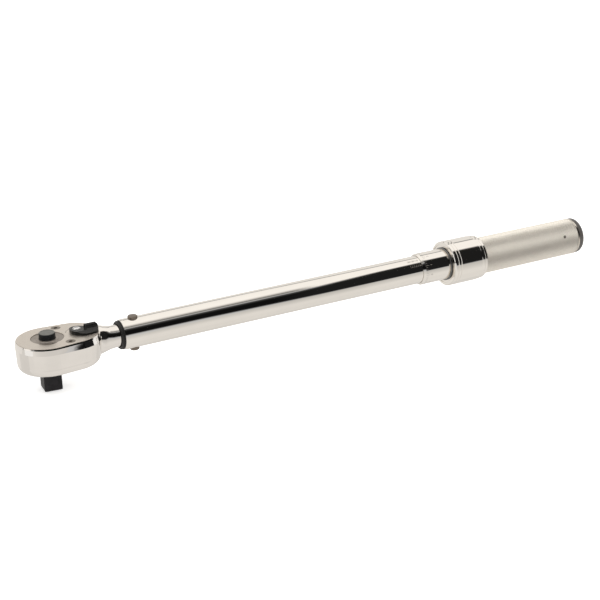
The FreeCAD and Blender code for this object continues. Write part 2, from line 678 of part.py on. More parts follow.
# ------------------------------------------------------------------ pawl
ls = D["lever_station"]
pawl_boss = cyl("pawl_boss", 4.3, 14.9, ls, 0, AH - 8.2)
pawl_body = doc.addObject("PartDesign::Body", "pawl_arms")
ps = new_sketch(pawl_body, "pawl_outline", "XY_Plane", AH - 8.2)
polygon(ps, [(ls - 8.6, 8.0), (ls - 8.9, -8.0), (ls - 5.6, -8.0), (ls + 1.5, -4.0), (ls + 1.5, 4.0), (ls - 5.6, 8.0)])
pp = pawl_body.newObject("PartDesign::Pad", "pawl_pad")
pp.Profile = ps
pp.Length = 14.9
pawl_body.Tip = pp
pawl_blank = fuse("pawl_blank", [pawl_boss, pawl_body])
# Clear of the gear in both rocked positions: at rest, and turned twelve degrees.
rest_clear = cyl("pawl_rest_clear", D["gear_tip_radius"] + 0.2, 20, 0, 0, AH - 10)
ROCK = 12.0
other = FreeCAD.Vector(-ls.v, 0, 0)
rock_clear = []
for tag, turn_deg in (("half", ROCK * 0.5), ("full", ROCK)):
    ca, sa = math.cos(math.radians(-turn_deg)), math.sin(math.radians(-turn_deg))
    ox = ls.v + (other.x * ca - other.y * sa)
    oy = other.x * sa + other.y * ca
    rock_clear.append(cyl("pawl_rock_" + tag, D["gear_tip_radius"] + 0.2, 20, ox, oy, AH - 10))
pawl_bore = cyl("pawl_bore", 2.7, 20, ls, 0, AH - 10)
node(cut("pawl_cut", pawl_blank, fuse("pawl_tools", [rest_clear, pawl_bore] + rock_clear)), "pawl")

# ------------------------------------------------------------------ lever
# A flat plate round the pivot, swept to the thumb ridge; the ridge is a low
# barrel with a small hole in its inner end.
zb = AH + D["plate_top"] + 0.12
plan = doc.addObject("PartDesign::Body", "lever_plan")
lp = new_sketch(plan, "lever_outline", "XY_Plane")
LEVER = [(16.4, -0.6), (16.9, 2.3), (18.6, 4.4), (21.3, 5.2), (24.4, 4.3), (27.2, 2.2), (31.0, 0.6),
         (34.0, 0.2), (35.1, -0.8), (35.4, -3.0), (35.2, -6.6), (34.2, -8.5), (32.0, -9.6), (28.4, -10.7),
         (24.8, -10.6), (21.2, -9.0), (18.3, -6.4), (16.8, -3.6)]
polygon(lp, LEVER)
lpad = plan.newObject("PartDesign::Pad", "lever_pad")
lpad.Profile = lp
lpad.Length = 8.0
plan.Tip = lpad
place(plan, 0, 0, zb)
# Side view of the lever, swept across: thin at the pivot, high at the ridge.
side = doc.addObject("PartDesign::Body", "lever_side")
sd = new_sketch(side, "lever_section", "YZ_Plane", as_dim(14.0))
lt = D["lever_top"] + AH
lr = D["lever_ridge_top"] + AH
ridge = [(-12.0, zb), (-12.0, AH + 10.6), (-9.6, AH + 11.1), (-7.6, AH + 11.8), (-6.4, AH + 12.7), (-5.75, lr - 2.0)]
for k in range(1, 9):
    a_ = math.radians(180.0 - 20.0 * k)
    ridge.append((-3.7 + 1.95 * math.cos(a_), lr - 1.95 + 1.95 * math.sin(a_)))
ridge += [(-1.5, lr - 2.6), (-1.2, lt + 0.3), (-0.3, lt - 0.3), (6.0, lt - 0.3), (6.0, zb)]
polygon(sd, ridge)
spad = side.newObject("PartDesign::Pad", "lever_side_pad")
spad.Profile = sd
spad.Length = 24.0
side.Tip = spad
lever_full = common("lever_full", [plan, side])
relieve = box("lever_relieve", 13.6, 30, 10, 12.6, -15, lt)
ridge_hole = cyl("ridge_hole", 1.1, 4.0, 25.2, -3.7, lr - 1.95, ALONG_X)
rear_slope = box("lever_rear_slope", 8, 30, 8, 33.4, -15, lr + 0.5)
rear_slope.Placement = FreeCAD.Placement(V(33.4, -15, (lr + 0.5).v), FreeCAD.Rotation(V(0, 1, 0), 45))
rear_slope.setExpression(".Placement.Base.z", (lr + 0.5).t)
lever_tip = cut("lever_tip", lever_full, fuse("lever_tools", [relieve, ridge_hole, rear_slope]))
stem_a = cyl("lever_stem_a", 3.4, D["plate_top"] - 7.3 + 0.4, ls, 0, AH + 7.3)
stem_b = cyl("lever_stem_b", 2.62, 17.1, ls, 0, AH - 9.6)
screw_sink = cyl("lever_screw_sink", 2.9, 6, ls, -0.2, lt - 0.7)
node(cut("lever_cut", fuse("lever_join", [lever_tip, stem_a, stem_b]), screw_sink), "reversing_lever")
lever_screw = turned("lever_screw_turn", [
    (0, lt - 0.7), (2.8, lt - 0.7), (2.8, lt - 0.1), (2.5, lt + 0.25), (1.7, lt + 0.5), (0, lt + 0.6)], about="Z")
place(lever_screw, ls, -0.2, 0)
screw_slot = box("lever_screw_slot", 8, 0.8, 2, ls - 4, -0.6, lt + 0.05)
node(cut("lever_screw_cut", lever_screw, screw_slot), "lever_screw")

# ------------------------------------------------------------------ click mechanism
pf, pl = D["plunger_front"], D["plunger_length"]
plunger = turned("plunger_turn", [
    (pf, 0), (pf, D["plunger_radius"] - 0.5), (pf + 0.5, D["plunger_radius"]),
    (pf + 9.0, D["plunger_radius"]), (pf + 9.5, D["plunger_radius"] - 0.6), (pf + 11.0, D["plunger_radius"] - 0.6),
    (pf + 11.5, D["plunger_radius"]), (pf + pl, D["plunger_radius"]),
    (pf + pl, 4.8), (pf + pl + 6.0, 4.4), (pf + pl + 6.0, 0)])
plunger_socket = box("plunger_socket", 3, D["block_width"] + 0.5, D["block_height"] + 0.4,
                     pf - 3.0 + D["socket_depth"] + 0.02, D["block_width"] * -0.5 - 0.1,
                     AH - D["block_height"] * 0.5 - 0.2)
node(cut("plunger_cut", plunger, plunger_socket), "plunger")
bl, bw, bht = D["block_length"], D["block_width"], D["block_height"]
block = doc.addObject("PartDesign::Body", "block_body")
bs = new_sketch(block, "block_outline", "XY_Plane", AH - bht * 0.5)
b0 = pf + D["socket_depth"] - bl
polygon(bs, [(b0, bw * -0.5 + 0.5), (b0 + 0.5, bw * -0.5), (b0 + bl - 0.5, bw * -0.5), (b0 + bl, bw * -0.5 + 0.5),
             (b0 + bl, bw * 0.5 - 0.5), (b0 + bl - 0.5, bw * 0.5), (b0 + 0.5, bw * 0.5), (b0, bw * 0.5 - 0.5)])
bp = block.newObject("PartDesign::Pad", "block_pad")
bp.Profile = bs
bind(bp, "Length", bht)
block.Tip = bp
node(block, "tilt_block")

s0 = pf + pl + D["spring_wire"] + 0.05
s_len = D["seat_front"] - D["spring_wire"] - 0.05 - s0
node(spring("main_spring_sweep", D["spring_radius"], D["spring_wire"], D["spring_pitch"], s_len,
            s0, 0, AH, ALONG_X), "main_spring")

sf = D["seat_front"]
seat = turned("seat_turn", [
    (sf - 5.0, 0), (sf - 5.0, 4.3), (sf, 4.7), (sf, D["tube_bore"] - 0.1), (sf + D["seat_length"], D["tube_bore"] - 0.1),
    (sf + D["seat_length"], 3.4), (sf + D["seat_length"], 0)])
seat_socket = ball("seat_socket", D["thrust_ball_radius"] + 0.05, sf + D["seat_length"] + 0.75, 0, AH)
node(cut("seat_cut", seat, seat_socket), "spring_seat")
node(ball("thrust_ball_turn", D["thrust_ball_radius"], sf + D["seat_length"] + 0.75, 0, AH), "thrust_ball")

# ------------------------------------------------------------------ grip assembly
st, se, sr = D["screw_tip"], D["screw_end"], D["screw_radius"]
screw_blank = turned("screw_turn", [
    (st - 1.2, 0), (st - 1.2, 3.2), (st, sr - 0.5), (st + 0.5, sr), (D["hub_front"] + 2.0, sr), (D["hub_front"] + 2.0, sr + 0.9),
    (D["hub_end"] - 2.0, sr + 0.9), (D["hub_end"] - 2.0, 3.9), (se - 0.5, 3.9), (se, 3.4), (se, 0)])
screw_cup = ball("screw_cup", D["thrust_ball_radius"] + 0.05, sf + D["seat_length"] + 0.75, 0, AH)
node(cut("screw_cut", screw_blank, screw_cup), "adjusting_screw")
hub = turned("hub_turn", [
    (D["hub_front"], sr + 0.05), (D["hub_front"], D["grip_rear_bore"] - 0.5), (D["hub_front"] + 0.5, D["grip_rear_bore"] - 0.02),
    (D["hub_end"], D["grip_rear_bore"] - 0.02), (D["hub_end"], 4.0), (D["hub_end"] - 1.95, 4.0),
    (D["hub_end"] - 1.95, sr + 0.95), (D["hub_front"] + 1.95, sr + 0.95), (D["hub_front"] + 1.95, sr + 0.05)])
HOLE_ANGLE = math.degrees(math.atan2(5.7, -13.7))
hole_rot = FreeCAD.Rotation(V(1, 0, 0), HOLE_ANGLE) * ALONG_Y
hub_hole = cyl("hub_hole", 1.05, 10, 441.0, 0, AH, hole_rot)
hub_hole_far = cyl("hub_hole_far", 1.05, 20, 441.0, 0, AH, hole_rot)
hub_keep = cyl("hub_keep", 7.6, 10, 436.0, 0, AH, ALONG_X)
node(cut("hub_cut", hub, cut("hub_hole_trim", hub_hole_far, hub_keep)), "screw_hub")
cn = doc.addObject("Part::Prism", "cal_nut_blank")
cn.Polygon = 6
cn.Circumradius = 7.2
cn.Height = 4.0
place(cn, D["hub_end"] + 0.1, 0, AH, ALONG_X)
cn_bore = cyl("cal_nut_bore", 3.95, 8, D["hub_end"] - 2, 0, AH, ALONG_X)
node(cut("cal_nut_cut", cn, cn_bore), "calibration_nut")

gf, ge, gr = D["grip_front"], D["grip_end"], D["grip_radius"]
grip = turned("grip_turn", [
    (gf, D["thimble_radius"] + 0.01), (gf, gr - 0.5), (gf + 0.5, gr), (ge - 0.4, gr), (ge, gr - 0.4),
    (ge, D["grip_rear_bore"]), (424.0, D["grip_rear_bore"]), (424.0, D["grip_bore"]),
    (D["thimble_end"], D["grip_bore"]), (D["thimble_end"], D["thimble_radius"] + 0.01)])
grip_hole = cyl("grip_hole", 1.0, 20, 441.0, 0, AH, hole_rot)
node(cut("grip_cut", grip, grip_hole), "grip_sleeve")
set_rot = FreeCAD.Rotation(V(1, 0, 0), HOLE_ANGLE) * ALONG_Y
hv = V(0, math.cos(math.radians(HOLE_ANGLE)), math.sin(math.radians(HOLE_ANGLE)))
node(cyl("set_screw_turn", 0.95, 6.0, 441.0, hv.y * 8.0, AH + hv.z * 8.0, set_rot), "hub_set_screw")

tf, tr, te = D["thimble_front"], D["thimble_radius"], D["thimble_end"]
thimble_blank = turned("thimble_turn", [
    (tf, D["thimble_bore"]), (tf, tr - 0.9), (tf + 1.8, tr), (te, tr), (te, D["thimble_bore"])])
lock_hole_list = []
for k in range(6):
    a = math.radians(30.0 + 60.0 * k)
    r = FreeCAD.Rotation(V(1, 0, 0), 30.0 + 60.0 * k) * ALONG_Y
    lock_hole_list.append(cyl("lock_hole_%d" % k, 0.75, 20, 331.7, 0, AH, r))
clip_groove = turned("clip_groove", [
    (328.55, 12.0), (328.55, 14.0), (329.5, 14.0), (329.5, 12.0)])
node(cut("thimble_cut", thimble_blank, fuse("thimble_tools", lock_hole_list + [clip_groove])), "thimble")
lock_balls = []
for k in range(6):
    a = math.radians(30.0 + 60.0 * k)
    lock_balls.append(ball("lock_ball_%d" % k, 0.7, 331.7, math.cos(a) * 11.88, AH + math.sin(a) * 11.88))
balls = doc.addObject("Part::Compound", "lock_ball_set")
balls.Links = lock_balls
node(balls, "lock_balls")
clip_blank = turned("clip_turn", [
    (328.6, 12.05), (328.6, 13.0), (328.8, 13.2), (329.25, 13.2), (329.45, 13.0), (329.45, 12.05)])
clip_gap = box("clip_gap", 4, 3.0, 6, 327.1, -1.5, AH - 15)
node(cut("clip_cut", clip_blank, clip_gap), "ring_stop_clip")

cap = turned("cap_turn", [
    (ge - 4.0, 9.5), (ge - 4.0, D["grip_rear_bore"] - 0.02), (ge + 0.02, D["grip_rear_bore"] - 0.02),
    (ge + 0.02, D["cap_radius"]), (D["cap_end"] - 1.6, D["cap_radius"]), (D["cap_end"] - 0.5, D["cap_radius"] - 0.5),
    (D["cap_end"], D["cap_radius"] - 1.7), (D["cap_end"], 0), (ge + 1.5, 0), (ge + 1.5, 9.5)])
node(cap, "end_cap")

# ------------------------------------------------------------------ lock ring
rf, re_, rr = D["ring_front"], D["ring_end"], D["ring_radius"]
lip = D["ring_lip_bore"]
ring = turned("ring_turn", [
    (rf, lip), (rf, rr - 3.6), (rf + 0.5, rr - 3.5), (rf + 0.5, rr - 2.4), (rf, rr - 2.3), (rf, rr - 1.0),
    (rf + 0.3, rr - 0.4), (rf + 0.8, rr), (rf + 2.3, rr), (rf + 2.7, rr - 0.55), (rf + 3.1, rr - 0.55),
    (rf + 3.5, rr), (rf + 5.0, rr), (rf + 5.4, rr - 0.55), (rf + 5.8, rr - 0.55), (rf + 6.2, rr),
    (rf + 25.3, rr), (rf + 25.7, rr - 0.55), (rf + 26.1, rr - 0.55), (rf + 26.4, rr - 0.25),
    (rf + 28.2, rr - 0.3), (rf + 28.6, rr - 0.85), (rf + 29.0, rr - 0.85), (rf + 29.3, rr - 0.45),
    (re_ - 0.8, rr - 0.6), (re_, D["ring_tail_radius"]), (re_, D["ring_bore"]),
    (rf + 4.0, D["ring_bore"]), (rf + 4.0, lip)])
node(ring, "lock_ring")
node(spring("lock_spring_sweep", D["lock_spring_radius"], D["lock_spring_wire"], 6.6, 26.4,
            rf + 4.85, 0, AH, ALONG_X), "lock_spring")

# ------------------------------------------------------------------ write
doc.recompute()
bad = []
for o in doc.Objects:
    st_ = [q for q in o.State if q in ("Invalid", "Error")]
    if st_:
        bad.append("%s %s" % (o.Name, st_))
if bad:
    raise RuntimeError("failed objects: " + "; ".join(bad))
for obj, label in NODES:
    shape = obj.Shape
    if shape.isNull() or not shape.isValid():
        raise RuntimeError("bad shape: " + label)
    if not shape.Solids:
        raise RuntimeError("no solid: " + label)
    print("%-18s solids %d  volume %10.1f  x %.1f..%.1f" % (
        label, len(shape.Solids), shape.Volume, shape.BoundBox.XMin, shape.BoundBox.XMax))
for obj, label in NODES:
    obj.Shape.exportStep("parts/%s.step" % label)
print("nodes", len(NODES))
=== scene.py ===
import bpy
import math
import random
from mathutils import Matrix, Vector


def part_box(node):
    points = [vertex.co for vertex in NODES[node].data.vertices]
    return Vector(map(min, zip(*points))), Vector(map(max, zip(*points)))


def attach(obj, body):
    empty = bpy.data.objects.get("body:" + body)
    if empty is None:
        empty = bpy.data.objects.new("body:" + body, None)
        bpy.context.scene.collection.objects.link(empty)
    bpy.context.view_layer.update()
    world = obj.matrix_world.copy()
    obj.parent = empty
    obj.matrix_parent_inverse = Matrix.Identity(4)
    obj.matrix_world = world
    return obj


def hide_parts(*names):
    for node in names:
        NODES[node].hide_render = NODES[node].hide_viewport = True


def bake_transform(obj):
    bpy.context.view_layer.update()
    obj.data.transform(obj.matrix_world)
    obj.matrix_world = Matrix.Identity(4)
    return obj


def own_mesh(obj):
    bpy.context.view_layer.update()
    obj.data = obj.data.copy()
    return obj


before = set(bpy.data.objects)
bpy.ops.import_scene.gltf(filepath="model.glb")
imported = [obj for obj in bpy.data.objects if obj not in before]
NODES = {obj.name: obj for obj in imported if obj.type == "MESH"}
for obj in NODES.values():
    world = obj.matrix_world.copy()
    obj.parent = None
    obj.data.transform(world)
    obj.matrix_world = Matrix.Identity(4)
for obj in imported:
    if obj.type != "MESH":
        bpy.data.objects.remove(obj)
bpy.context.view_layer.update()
MM = 0.001
random.seed(7)

# ------------------------------------------------------------------ helpers


def lin(r, g, b):
    """sRGB 0..255 to a linear colour."""
    out = []
    for c in (r, g, b):
        c = c / 255.0
        out.append(c / 12.92 if c <= 0.04045 else ((c + 0.055) / 1.055) ** 2.4)
    return (out[0], out[1], out[2], 1.0)


class Mat(object):
    """Small builder for a node material."""

    def __init__(self, name, color, metallic=0.0, rough=0.5, spec=0.5, coat=0.0):
        self.m = bpy.data.materials.new(name)
        self.m.use_nodes = True
        self.t = self.m.node_tree
        self.t.nodes.clear()
        self.out = self.t.nodes.new("ShaderNodeOutputMaterial")
        self.b = self.t.nodes.new("ShaderNodeBsdfPrincipled")
        self.t.links.new(self.b.outputs["BSDF"], self.out.inputs["Surface"])
        self.b.inputs["Base Color"].default_value = color
        self.b.inputs["Metallic"].default_value = metallic
        self.b.inputs["Roughness"].default_value = rough
        self.b.inputs["Specular IOR Level"].default_value = spec
        self.b.inputs["Coat Weight"].default_value = coat
        self.coord = self.t.nodes.new("ShaderNodeTexCoord")
        self.normal = None

    def mapped(self, sx, sy, sz, rot=(0, 0, 0)):
        mp = self.t.nodes.new("ShaderNodeMapping")
        mp.inputs["Scale"].default_value = (sx, sy, sz)
        mp.inputs["Rotation"].default_value = rot
        self.t.links.new(self.coord.outputs["Object"], mp.inputs["Vector"])
        return mp.outputs["Vector"]

    def noise(self, vec, scale=1.0, detail=4.0, rough=0.55):
        n = self.t.nodes.new("ShaderNodeTexNoise")
        n.inputs["Scale"].default_value = scale
        n.inputs["Detail"].default_value = detail
        n.inputs["Roughness"].default_value = rough
        self.t.links.new(vec, n.inputs["Vector"])
        return n.outputs["Fac"]

    def voronoi(self, vec, scale=1.0):
        n = self.t.nodes.new("ShaderNodeTexVoronoi")
        n.inputs["Scale"].default_value = scale
        self.t.links.new(vec, n.inputs["Vector"])
        return n.outputs["Distance"]

    def ramp(self, fac, stops):
        r = self.t.nodes.new("ShaderNodeValToRGB")
        els = r.color_ramp.elements
        while len(els) < len(stops):
            els.new(0.5)
        for e, (p, c) in zip(els, stops):
            e.position = p
            e.color = c
        self.t.links.new(fac, r.inputs["Fac"])
        return r.outputs["Color"]

    def span(self, fac, a, b, c, d):
        r = self.t.nodes.new("ShaderNodeMapRange")
        r.inputs["From Min"].default_value = a
        r.inputs["From Max"].default_value = b
        r.inputs["To Min"].default_value = c
        r.inputs["To Max"].default_value = d
        self.t.links.new(fac, r.inputs["Value"])
        return r.outputs["Result"]

    def color_from(self, sock):
        self.t.links.new(sock, self.b.inputs["Base Color"])
        return self

    def rough_from(self, sock):
        self.t.links.new(sock, self.b.inputs["Roughness"])
        return self

    def bump(self, sock, strength, distance):
        n = self.t.nodes.new("ShaderNodeBump")
        n.inputs["Strength"].default_value = strength
        n.inputs["Distance"].default_value = distance
        self.t.links.new(sock, n.inputs["Height"])
        if self.normal is not None:
            self.t.links.new(self.normal, n.inputs["Normal"])
        self.normal = n.outputs["Normal"]
        self.t.links.new(self.normal, self.b.inputs["Normal"])
        return self


def grey(v):
    return (v, v, v, 1.0)


# ------------------------------------------------------------------ materials


def make_chrome(name, tint, r0, r1, along=True):
    m = Mat(name, tint, 1.0, 0.06)
    # Long faint polishing lines along the tube, and wider soft waviness.
    fine = m.noise(m.mapped(60.0, 2600.0, 2600.0) if along else m.mapped(1500, 1500, 1500), 1.0, 3.0)
    wide = m.noise(m.mapped(14.0, 90.0, 90.0), 1.0, 3.0)
    m.rough_from(m.span(wide, 0.3, 0.7, r0, r1))
    smudge = m.noise(m.mapped(30.0, 60.0, 60.0), 1.0, 5.0)
    lo = tuple(c * 0.965 for c in tint[:3]) + (1.0,)
    m.color_from(m.ramp(smudge, [(0.35, lo), (0.65, tint)]))
    m.bump(fine, 0.05, 0.00002)
    m.bump(wide, 0.05, 0.0002)
    return m.m


chrome = make_chrome("chrome_polish", lin(238, 234, 228), 0.035, 0.075)
chrome_head = make_chrome("chrome_head", lin(236, 232, 227), 0.05, 0.11, along=False)


def make_satin(name, tint, rough, grain, depth):
    m = Mat(name, tint, 1.0, rough)
    fine = m.noise(m.mapped(grain, grain, grain), 1.0, 2.0, 0.7)
    wide = m.noise(m.mapped(120.0, 120.0, 120.0), 1.0, 4.0)
    lo = tuple(c * 0.86 for c in tint[:3]) + (1.0,)
    hi = tuple(min(1.0, c * 1.06) for c in tint[:3]) + (1.0,)
    m.color_from(m.ramp(fine, [(0.35, lo), (0.68, hi)]))
    m.rough_from(m.span(wide, 0.3, 0.7, rough - 0.05, rough + 0.06))
    m.bump(fine, 0.35, depth)
    return m.m


satin = make_satin("satin_plate", lin(222, 214, 204), 0.38, 5200.0, 0.00003)
knurl_mat = make_satin("knurled_satin", lin(240, 235, 226), 0.44, 3500.0, 0.000006)
band_mat = make_satin("grip_band", lin(220, 214, 205), 0.24, 3000.0, 0.00001)


def make_black(name, base, edge, rough, grain, metallic=0.6, spec=0.5):
    m = Mat(name, base, metallic, rough, spec)
    fine = m.noise(m.mapped(grain, grain, grain), 1.0, 5.0, 0.65)
    wide = m.noise(m.mapped(260.0, 260.0, 260.0), 1.0, 4.0)
    m.color_from(m.ramp(wide, [(0.3, base), (0.75, edge)]))
    m.rough_from(m.span(fine, 0.3, 0.7, rough - 0.08, rough + 0.1))
    m.bump(fine, 0.3, 0.00004)
    return m.m


oxide = make_black("black_oxide", lin(24, 23, 25), lin(38, 36, 38), 0.48, 2400.0, 0.2, 0.22)
hub_oxide = make_black("hub_grey", lin(150, 143, 136), lin(168, 160, 152), 0.45, 4200.0, 0.9)
button_m = make_black("button_black", lin(22, 24, 26), lin(36, 38, 40), 0.34, 3000.0, 0.3, 0.3)
button_top_m = make_black("button_top", lin(112, 112, 108), lin(128, 128, 124), 0.4, 3000.0, 0.8)
lever_m = make_black("lever_black", lin(14, 14, 14), lin(30, 29, 28), 0.26, 1800.0, 0.0, 0.32)
rubber = make_black("seal_rubber", lin(20, 20, 20), lin(34, 33, 32), 0.42, 1500.0, 0.0, 0.35)
plastic = make_black("cap_plastic", lin(70, 66, 64), lin(84, 80, 77), 0.42, 1700.0, 0.0, 0.45)
pin_m = make_satin("pin_steel", lin(128, 118, 108), 0.34, 2600.0, 0.00002)
screw_m = make_black("screw_steel", lin(120, 112, 102), lin(150, 142, 132), 0.35, 2600.0, 0.9)
bright = make_chrome("bright_steel", lin(236, 236, 236), 0.05, 0.09, along=False)
spring_m = make_black("spring_wire", lin(110, 110, 112), lin(140, 140, 140), 0.32, 2600.0, 0.9)
bronze_m = make_satin("bronze", lin(196, 160, 96), 0.3, 2200.0, 0.00002)
plain_m = make_satin("plain_steel", lin(176, 172, 166), 0.28, 2400.0, 0.00002)
seal_m = rubber
mark_m = make_black("etched_mark", lin(118, 112, 104), lin(140, 134, 126), 0.7, 3000.0, 0.0, 0.2)

ASSIGN = {
    "tube": chrome, "thimble": chrome, "lock_ring": chrome, "ratchet_head": chrome_head,
    "cover_plate": satin, "grip_sleeve": knurl_mat, "drive_gear": oxide, "release_button": button_m,
    "reversing_lever": lever_m, "mouth_seal": rubber, "end_cap": plastic, "pivot_pin": pin_m,
    "cover_screws": screw_m, "lever_screw": bright, "hub_set_screw": screw_m, "ring_stop_clip": spring_m,
    "main_spring": spring_m, "lock_spring": spring_m, "button_spring": spring_m, "detent_spring": spring_m,
    "adjuster_nut": bronze_m, "calibration_nut": plain_m, "adjusting_screw": plain_m, "screw_hub": plain_m,
    "nut_pins": plain_m, "plunger": plain_m, "tilt_block": plain_m, "spring_seat": plain_m, "pawl": plain_m,
    "detent_ball": bright, "socket_ball": bright, "thrust_ball": bright, "lock_balls": bright,
}
for name, obj in NODES.items():
    obj.data.materials.clear()
    obj.data.materials.append(ASSIGN[name])

AXZ = (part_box("tube")[0].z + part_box("tube")[1].z) / 2

# Gear hub seen round the button is ground grey, the square is black.
g = NODES["drive_gear"].data
g.materials.append(hub_oxide)
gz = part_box("cover_plate")[0].z - 0.001
for p in g.polygons:
    if sum(g.vertices[v].co.z for v in p.vertices) / len(p.vertices) > gz:
        p.material_index = 1
b = NODES["release_button"].data
b.materials.append(button_top_m)
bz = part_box("release_button")[1].z - 0.0006
for p in b.polygons:
    if min(b.vertices[v].co.z for v in p.vertices) > bz and abs(p.normal.z) > 0.5:
        p.material_index = 1


# ------------------------------------------------------------------ new pieces


def add_mesh(name, verts, faces, mat, body, smooth=False):
    me = bpy.data.meshes.new(name)
    me.from_pydata(verts, [], faces)
    me.validate()
    me.update()
    ob = bpy.data.objects.new(name, me)
    bpy.context.scene.collection.objects.link(ob)
    me.materials.append(mat)
    for p in me.polygons:
        p.use_smooth = smooth
    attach(ob, body)
    return ob


def around(x, r, a):
    """Point at station x and radius r; the angle runs from -Y (0) over +Z (90 degrees)."""
    return (x, -r * math.cos(a), AXZ + r * math.sin(a))


# Knurled grip: diamond pyramids between two smooth bands.
glo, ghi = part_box("grip_sleeve")
R = (ghi.z - glo.z) / 2
x0, x1 = glo.x, ghi.x
NS = 100
hole_x = 0.441
hole_a = math.atan2(5.7, 13.7)
step = 2 * math.pi * R / NS
k0, k1 = x0 + 0.0011, x1 - 0.0019
NX = int(round((k1 - k0) / step / 2)) * 2
verts, faces = [], []
depth = 0.00045


def grip_ring(x, r):
    base = len(verts)
    for i in range(NS):
        verts.append(around(x, r, 2 * math.pi * i / NS))
    return base


rings = [grip_ring(x0, 0.0128), grip_ring(x0, R - 0.0005), grip_ring(x0 + 0.0004, R - 0.00012),
         grip_ring(x0 + 0.0009, R - 0.00012), grip_ring(x0 + 0.00095, R - depth)]
for j in range(NX + 1):
    x = k0 + (k1 - k0) * j / NX
    base = len(verts)
    for i in range(NS):
        peak = (i + j) % 2 == 0
        rr = R - (0.00002 if peak else depth)
        verts.append(around(x, rr, 2 * math.pi * i / NS))
    rings.append(base)
rings += [grip_ring(k1 + 0.00012, R - depth), grip_ring(k1 + 0.00018, R - 0.0001), grip_ring(x1 - 0.0004, R - 0.0001),
          grip_ring(x1, R - 0.0005), grip_ring(x1, 0.0125), grip_ring(x0, 0.0128)]


def in_hole(x, a, r=0.00105):
    da = (a - hole_a + math.pi) % (2 * math.pi) - math.pi
    return (x - hole_x) ** 2 + (da * R) ** 2 < r * r


mat_index = []
for q in range(len(rings) - 1):
    ra, rb = rings[q], rings[q + 1]
    knurled = 5 <= q < 5 + NX
    for i in range(NS):
        i2 = (i + 1) % NS
        a_, b_, c_, d_ = ra + i, ra + i2, rb + i2, rb + i
        if knurled:
            xm = (verts[a_][0] + verts[c_][0]) / 2
            am = 2 * math.pi * (i + 0.5) / NS
            if in_hole(xm, am):
                continue
            # split each cell along its valley-to-valley or peak-to-peak diagonal
            j = q - 5
            if (i + j) % 2 == 0:
                faces += [(a_, b_, d_), (b_, c_, d_)]
            else:
                faces += [(a_, b_, c_), (a_, c_, d_)]
            mat_index += [0, 0]
        else:
            faces.append((a_, b_, c_, d_))
            mat_index.append(1)
grip = add_mesh("grip_knurl", verts, faces, knurl_mat, "grip")
grip.data.materials.append(band_mat)
for p, mi in zip(grip.data.polygons, mat_index):
    p.material_index = mi
    p.use_smooth = False
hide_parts("grip_sleeve")

# Bore of the set-screw hole, with a slightly rounded mouth.
n = 24
hv, hf = [], []
ca, sa = math.cos(hole_a), math.sin(hole_a)
for rr, depth_r in ((0.00125, R - 0.0001), (0.00100, R - 0.0003), (0.00095, R - 0.0022)):
    for i in range(n):
        t = 2 * math.pi * i / n
        dx, ds = rr * math.cos(t), rr * math.sin(t)
        y = -depth_r * ca + ds * sa
        z = AXZ + depth_r * sa + ds * ca
        hv.append((hole_x + dx, y, z))
for ring in range(2):
    for i in range(n):
        i2 = (i + 1) % n
        hf.append((ring * n + i, ring * n + i2, (ring + 1) * n + i2, (ring + 1) * n + i))
add_mesh("set_screw_bore", hv, hf, screw_m, "grip", smooth=True)


# ------------------------------------------------------------------ scale marks
def strip(verts, faces, xa, xb, aa, ab, r, n=6):
    """A thin curved patch on the tube between stations xa, xb and angles aa, ab."""
    base = len(verts)
    for i in range(n + 1):
        a = aa + (ab - aa) * i / n
        verts.append(around(xa, r, a))
        verts.append(around(xb, r, a))
    for i in range(n):
        faces.append((base + 2 * i, base + 2 * i + 2, base + 2 * i + 3, base + 2 * i + 1))


def tube_text(name, word, size, x, a, r, body, mat, turn=0.0):
    """A number wrapped round the tube, made into mesh."""
    cu = bpy.data.curves.new(name + "_c", "FONT")
    cu.body = word
    cu.size = size
    cu.align_x = "CENTER"
    cu.align_y = "CENTER"
    cu.resolution_u = 3
    ob = bpy.data.objects.new(name + "_t", cu)
    bpy.context.scene.collection.objects.link(ob)
    bpy.context.view_layer.update()
    dg = bpy.context.evaluated_depsgraph_get()
    me = bpy.data.meshes.new_from_object(ob.evaluated_get(dg))
    vs = []
    for v in me.vertices:
        u, w = v.co.x, v.co.y
        u, w = u * math.cos(turn) - w * math.sin(turn), u * math.sin(turn) + w * math.cos(turn)
        vs.append(around(x + u, r, a + w / r))
    fs = [tuple(p.vertices) for p in me.polygons]
    bpy.data.objects.remove(ob)
    bpy.data.curves.remove(cu)
    bpy.data.meshes.remove(me)
    return add_mesh(name, vs, fs, mat, body)


tube_r = (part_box("tube")[1].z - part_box("tube")[0].z) / 2
th_lo, th_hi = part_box("thimble")
th_r = (th_hi.z - th_lo.z) / 2
front = th_lo.x
pitch = 0.00175
tr_ = tube_r + 0.00001
sv, sf = [], []
A0 = math.radians(34.0)
strip(sv, sf, front - 0.0107, front + 0.0195, A0 - 0.006, A0 + 0.006, tr_, 2)
for k in range(-6, 12):
    x = front + k * pitch
    if x > front - 0.0001 and x < front + 0.0001:
        pass
    long = (k % 2 == 0)
    strip(sv, sf, x - 0.00008, x + 0.00008, A0, A0 + math.radians(16.0 if long else 12.0), tr_)
add_mesh("tube_scale", sv, sf, mark_m, "housing")
for k, word in ((-6, "150"), (-4, "130"), (-2, "110")):
    tube_text("tube_number_%s" % word, word, 0.0021, front + k * pitch, A0 + math.radians(26.0), tr_, "housing", mark_m, 0.0)

